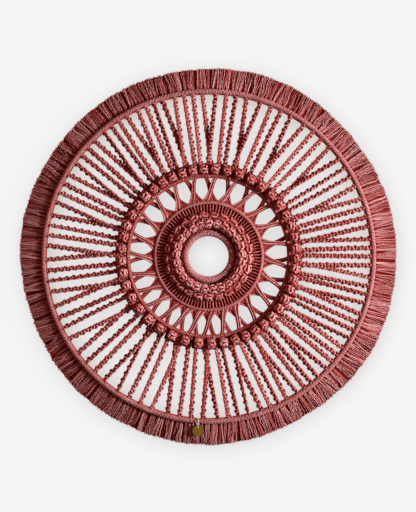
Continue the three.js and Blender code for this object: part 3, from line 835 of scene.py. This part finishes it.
def fringe_paths(clock, depth, length, aside, rise, curl):
    """Paths of cut ends: outwards from the hoop, falling back evenly along the length, moved aside and back
    as the rows of aside and rise say, with one wave along the length. They part at the jump ring by a
    hyperbola of the distance from it, and close again towards the tips."""
    steps = np.linspace(0, 1, aside.shape[1])
    radius = OUTER.radius + HOOP_WIRE + length[:, None] * steps
    fall = depth + FRINGE_DROOP * steps + rise
    aside = aside + curl[:, None] * np.sin(2 * np.pi * steps) * steps
    apart = from_ring(clock)[:, None] + aside
    side = np.sign(apart[:, :1])
    aside = aside + side * (np.hypot(apart, 2 * RING_ROOM * (1 - steps) ** 2) - side * apart) / 2
    return on_face(radius, clock[:, None], fall) + on_face(aside, clock[:, None] + 90, 0.0)


def fringe(start, sweep):
    """Cut cord ends over a backing of flat tufts, which are painted dark as shade in front and light only on
    their backs. A cord end leans with its neighbours by slow waves of the clock angle and at random. Its yarns
    lie round the front of it, and spread towards the tip by a power of the share of the length."""
    steps = np.linspace(0, 1, FRINGE_STEPS)
    tufts = round(FRINGE_BACKING * sweep / 360)
    clock = start + (np.arange(tufts) + RANDOM.uniform(*TUFT_PLACES, tufts)) * sweep / tufts
    length = trimmed_length(clock) - FRINGE_RAGGED - FRINGE_RAGGED * np.abs(RANDOM.normal(0, 1, tufts))
    lean = RANDOM.normal(0, TUFT_STRAY, tufts)[:, None] * steps
    paths = fringe_paths(clock, FRINGE_DEPTHS[1], length, lean, 0 * lean, 0 * clock)
    # the backing is painted dark on its front as the shade behind the cord ends
    bare = RANDOM.uniform(*BACKING_OPEN, (tufts, 1))
    backing = tubes(paths, (0, -1, 0), *FRINGE_TUFT, sides=TUFT_SIDES, open_side=bare, open_back=BACK_OPEN)

    cords = round(FRINGE_CORDS * sweep / 360)
    root = start + (np.arange(cords) + RANDOM.uniform(*LOCK_PLACES, cords)) * sweep / cords
    turn = np.radians(root)
    clump = sum(height * np.sin(count * turn + drift * np.sin(waves * turn))
                for height, count, drift, waves in LEAN_WAVES)
    lean = np.repeat(clump + RANDOM.normal(0, LEAN_STRAY, cords), FRINGE_YARNS)
    bright = np.repeat(RANDOM.uniform(*LOCK_VARIES, cords), FRINGE_YARNS)
    lift = np.repeat(RANDOM.normal(0, LIFT_STRAY, cords), FRINGE_YARNS)
    curl = np.repeat(RANDOM.normal(0, CURL_STRAY[0], cords), FRINGE_YARNS)
    clock = np.repeat(root, FRINGE_YARNS)
    yarns = len(clock)
    facing = np.radians(RANDOM.uniform(-YARN_FACING, YARN_FACING, yarns))
    across = FRINGE_ROOT * np.sin(facing) + RANDOM.normal(0, YARN_STRAY[0], yarns)
    deep = -FRINGE_ROOT * np.cos(facing) + np.abs(RANDOM.normal(0, YARN_STRAY[1], yarns))
    spread = 1 + (FRINGE_SPREAD - 1) * steps ** SPREAD_POWER
    aside = across[:, None] * spread + lean[:, None] * steps ** LEAN_POWER
    rise = deep[:, None] * (1 + DEPTH_SPREAD * steps) + lift[:, None] * steps
    length = trimmed_length(clock) + FRINGE_RAGGED * RANDOM.normal(0, 1, yarns)
    curl = curl + RANDOM.normal(0, CURL_STRAY[1], yarns)
    paths = fringe_paths(clock, FRINGE_DEPTHS[0], length, aside, rise, curl)
    # yarns lying further back are painted darker as shade
    bare = bright * (YARN_OPEN - YARN_FADE * deep) * RANDOM.uniform(*YARN_VARIES, yarns)
    front = tubes(paths, (0, -1, 0), FRINGE_YARN, FRINGE_YARN, sides=YARN_SIDES, open_side=bare[:, None])
    return joined([backing, front])


def tag_places():
    """Middles of the jump ring and of the disc, in millimetres about the face's middle, and their sizes."""
    return [(np.array(low + high) / 2 / MM - FACE_MIDDLE, np.array(high - low) / MM)
            for low, high in (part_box("tag_ring"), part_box("tag_disc"))]


def jump_ring(place, size):
    """A round wire bent into a ring that stands square to the hoop: a circle carried round a circle."""
    half = TAG_WIRE / 2
    radius = size[1] / 2 - half
    turn = np.arange(JUMP_RING_STEPS)[:, None] * 2 * np.pi / JUMP_RING_STEPS
    downward = unit(np.array([place[0], 0, place[2]]))
    path = place + radius * (np.sin(turn) * np.array([0, 1, 0]) + np.cos(turn) * downward)
    return tubes(path[None], path - place, half, half, sides=HOOP_SIDES, closed=True)


def tag_disc(place, size):
    """A round blank with a raised rim and a hole near its top. Rays leave the hole's middle at equal angles,
    and each row of the surface lies where they meet one circle: the hole's edge, or a circle of the blank. The
    rows run over the back, the outer edge, the rim and the field, and close through the hole."""
    radius = size[0] / 2
    front, back = -size[1] / 2, size[1] / 2
    field = front + TAG_RIM_HEIGHT
    rows = np.array([
        (radius - TAG_EDGE, back), (radius, back - TAG_EDGE),
        (radius, front + TAG_EDGE), (radius - TAG_EDGE, front),
        (radius - TAG_RIM, front), (radius - TAG_RIM - TAG_EDGE, field)])
    turn = np.arange(TAG_STEPS)[:, None] * 2 * np.pi / TAG_STEPS
    up = TAG_HOLE_OFFSET * np.cos(turn)
    reach = np.sqrt(up ** 2 - TAG_HOLE_OFFSET ** 2 + rows[:, 0] ** 2) - up
    edge = np.full((TAG_STEPS, 1), TAG_HOLE / 2)
    reach = np.concatenate([edge, reach, edge], 1)
    depth = np.concatenate([[back], rows[:, 1], [field]])
    points = np.stack([reach * np.sin(turn), np.broadcast_to(depth, reach.shape),
                       TAG_HOLE_OFFSET + reach * np.cos(turn)], -1) + place
    index = np.arange(reach.size).reshape(1, *reach.shape)
    corners, uv = grid_faces(index, TAG_STEPS, np.zeros((1, TAG_STEPS + 1)))
    return Shape(points.reshape(-1, 3), corners, np.full(len(corners) // 4, 4), uv, np.zeros(reach.size),
                 np.ones(reach.size))


def dress():
    """Every piece of the hanging, each standing for the solids that it names."""
    cotton, wire = cotton_cord(), drawn_wire()
    dull, pale = brass("dull_brass", *DULL_BRASS), brass("painted_glint_brass", *PAINTED_GLINT_BRASS)

    def corded(name, shape, *nodes):
        piece(name, shape, cotton, "cotton_cord", "hanging", *nodes, sharp=SHARP)

    for name, bar, half in (("centre_ring", CENTRE, RING_WIRE), ("inner_hoop", INNER, HOOP_WIRE),
                            ("middle_hoop", MIDDLE, HOOP_WIRE), ("outer_hoop", OUTER, HOOP_WIRE)):
        piece(name + "_wire", hoop_wire(bar, half), wire, "hoop_wire", "hanging", name)
    # each hoop's turns are painted lighter or darker by its own openness, as its shade
    winding = wound_turns(CENTRE, RING_WIRE, RING_TURN_THICKNESS, RING_TURNS, RING_OPEN)
    corded("centre_winding", winding, "centre_wrap")
    inner = wound_turns(INNER, HOOP_WIRE, TURN_THICKNESS, turns_on(INNER), INNER_HITCH_OPEN, slope=HITCH_SLOPE)
    corded("inner_hoop_hitches", inner, "inner_hitches")
    middle = wound_turns(MIDDLE, HOOP_WIRE, TURN_THICKNESS, turns_on(MIDDLE), MIDDLE_HITCH_OPEN,
                         slope=-HITCH_SLOPE)
    corded("middle_hoop_hitches", middle, "middle_hitches")
    corded("hub_cords", hub(), "hub_knotwork")
    for node in LATTICE:
        corded(node + "_cords", lattice_bundle(bundle_clock(node)), node)
    for node in SPOKES:
        corded(node + "_knots", spoke(node), node)
    for half, start in (("upper", -90.0), ("lower", 90.0)):
        hitches = wound_turns(OUTER, HOOP_WIRE, OUTER_TURN_THICKNESS, turns_on(OUTER, FRINGE_SWEEP),
                              OUTER_HITCH_OPEN, start, FRINGE_SWEEP, press=RING_PRESS)
        corded("outer_hitches_" + half, joined([hitches, hitch_backs(start, FRINGE_SWEEP)]), "fringe_" + half)
        corded("fringe_ends_" + half, fringe(start, FRINGE_SWEEP), "fringe_" + half)
    (ring_place, ring_size), (disc_place, disc_size) = tag_places()
    # the jump ring wears the paler brass, a painted glint
    piece("jump_ring", jump_ring(ring_place, ring_size), pale, "brass", "tag_ring", "tag_ring")
    piece("tag_blank", tag_disc(disc_place, disc_size), dull, "brass", "tag_disc", "tag_disc")


# Picture

def stage_plane(name, corners, finish):
    """A flat sheet of the set, from its four corners in metres."""
    mesh = bpy.data.meshes.new(name)
    mesh.from_pydata(corners, [], [(0, 1, 2, 3)])
    mesh.materials.append(finish)
    made = bpy.data.objects.new(name, mesh)
    bpy.context.scene.collection.objects.link(made)


def seen_rays(tree, rays):
    """1 for a ray that the camera sees straight, in a reflection or through glass, and 0 for one that only
    lights."""
    kinds = ("Camera", "Glossy", "Transmission")
    camera, glossy, through = (Value(tree, rays.outputs[f"Is {kind} Ray"]) for kind in kinds)
    return camera + glossy + through


def pale_wall():
    """White paint. The camera sees it glowing nearly evenly bright, with shade painted only close to the hanging
    and more on one side of it, and it is clear from behind."""
    material, tree, shader = new_finish("pale_wall")
    shader.inputs["Base Color"].default_value = WALL_PAINT
    shader.inputs["Roughness"].default_value = 0.9
    facing = output(tree, "ShaderNodeCombineXYZ", 0, {}, dict(enumerate(WALL_SHADE_FACING)))
    # painted shade: how open the wall is to the room near the hanging
    wall_unshaded = output(tree, "ShaderNodeAmbientOcclusion", "AO", {"samples": 8}, {
        "Distance": WALL_SHADE_REACH, "Normal": facing})
    # the wall's colour with its painted shade and painted bounce light
    painted_wall_shade = output(tree, "ShaderNodeValToRGB", 0, {"stops": WALL_SHADE_TONES}, {0: wall_unshaded})
    glow = output(tree, "ShaderNodeEmission", 0, {}, {"Color": painted_wall_shade})
    clear = output(tree, "ShaderNodeBsdfTransparent", 0)
    paint = Value(tree, shader.outputs[0])
    rays = add_node(tree, "ShaderNodeLightPath")
    seen = seen_rays(tree, rays)
    lit = output(tree, "ShaderNodeMixShader", 0, {}, {0: seen * WALL_GLOW, 1: paint, 2: glow})
    behind = output(tree, "ShaderNodeNewGeometry", "Backfacing") + Value(tree, rays.outputs["Is Shadow Ray"])
    whole = output(tree, "ShaderNodeMixShader", 0, {}, {0: behind, 1: lit, 2: clear})
    tree.links.new(whole.socket, tree.nodes["Material Output"].inputs[0])
    return material


def set_stage():
    """A pale wall behind the hanging, seen only from its front, and a pale floor below."""
    paint = pale_wall()
    wall, floor, reach = WALL_PLACE, FLOOR_PLACE, SET_REACH
    stage_plane("wall", [(-reach, wall, floor), (reach, wall, floor), (reach, wall, reach),
                         (-reach, wall, reach)], paint)
    stage_plane("floor", [(-reach, -reach, floor), (reach, -reach, floor), (reach, reach, floor),
                          (-reach, reach, floor)], paint)


def hang_lamp(name, place, energy, size):
    """A square lamp at a place in metres about the face's middle, turned to it."""
    light = bpy.data.lights.new(name, "AREA")
    light.energy, light.size = energy, size
    lamp = bpy.data.objects.new(name, light)
    lamp.location = FACE_MIDDLE * MM + place
    lamp.rotation_euler = Vector(place).to_track_quat("Z", "Y").to_euler()
    bpy.context.scene.collection.objects.link(lamp)


def set_light():
    """A window to the right of the face and in front of it, another behind that lights only the back, and an
    even warm glow from the room, which is pale where it is seen."""
    out, up = (math.radians(angle) for angle in WINDOW_ANGLES)
    towards = np.array([math.cos(out) * math.cos(up), -math.sin(out), math.cos(out) * math.sin(up)])
    hang_lamp("window", WINDOW_DISTANCE * towards, WINDOW_ENERGY, WINDOW_SIZE)
    hang_lamp("back_window", np.array(BACK_WINDOW_PLACE), BACK_WINDOW_ENERGY, BACK_WINDOW_SIZE)
    world = bpy.data.worlds.new("sky")
    world.use_nodes = True
    tree = world.node_tree
    glow = output(tree, "ShaderNodeBackground", 0, {}, {0: ROOM_GLOW, 1: ROOM_GLOW_STRENGTH})
    pale = output(tree, "ShaderNodeBackground", 0, {}, {0: ROOM_SEEN, 1: 1.0})
    seen = seen_rays(tree, add_node(tree, "ShaderNodeLightPath"))
    whole = output(tree, "ShaderNodeMixShader", 0, {}, {0: seen, 1: glow, 2: pale})
    tree.links.new(whole.socket, tree.nodes["World Output"].inputs[0])
    bpy.context.scene.world = world


def set_camera():
    """Square on to the face, so that a pixel shows PIXEL millimetres of it."""
    camera = bpy.data.cameras.new("camera")
    camera.lens, camera.sensor_width = LENS, SENSOR
    made = bpy.data.objects.new("camera", camera)
    aim = FACE_MIDDLE * MM
    made.location = (
        aim[0] + (PICTURE[0] / 2 - FACE_PIXEL[0]) * PIXEL * MM,
        aim[1] - PICTURE[1] * PIXEL * MM * LENS / SENSOR,
        aim[2] + (FACE_PIXEL[1] - PICTURE[1] / 2) * PIXEL * MM)
    made.rotation_euler = (math.pi / 2, 0, 0)
    bpy.context.scene.collection.objects.link(made)
    bpy.context.scene.camera = made
    bpy.context.scene.view_settings.view_transform = "Standard"


dress()
set_stage()
set_light()
set_camera()
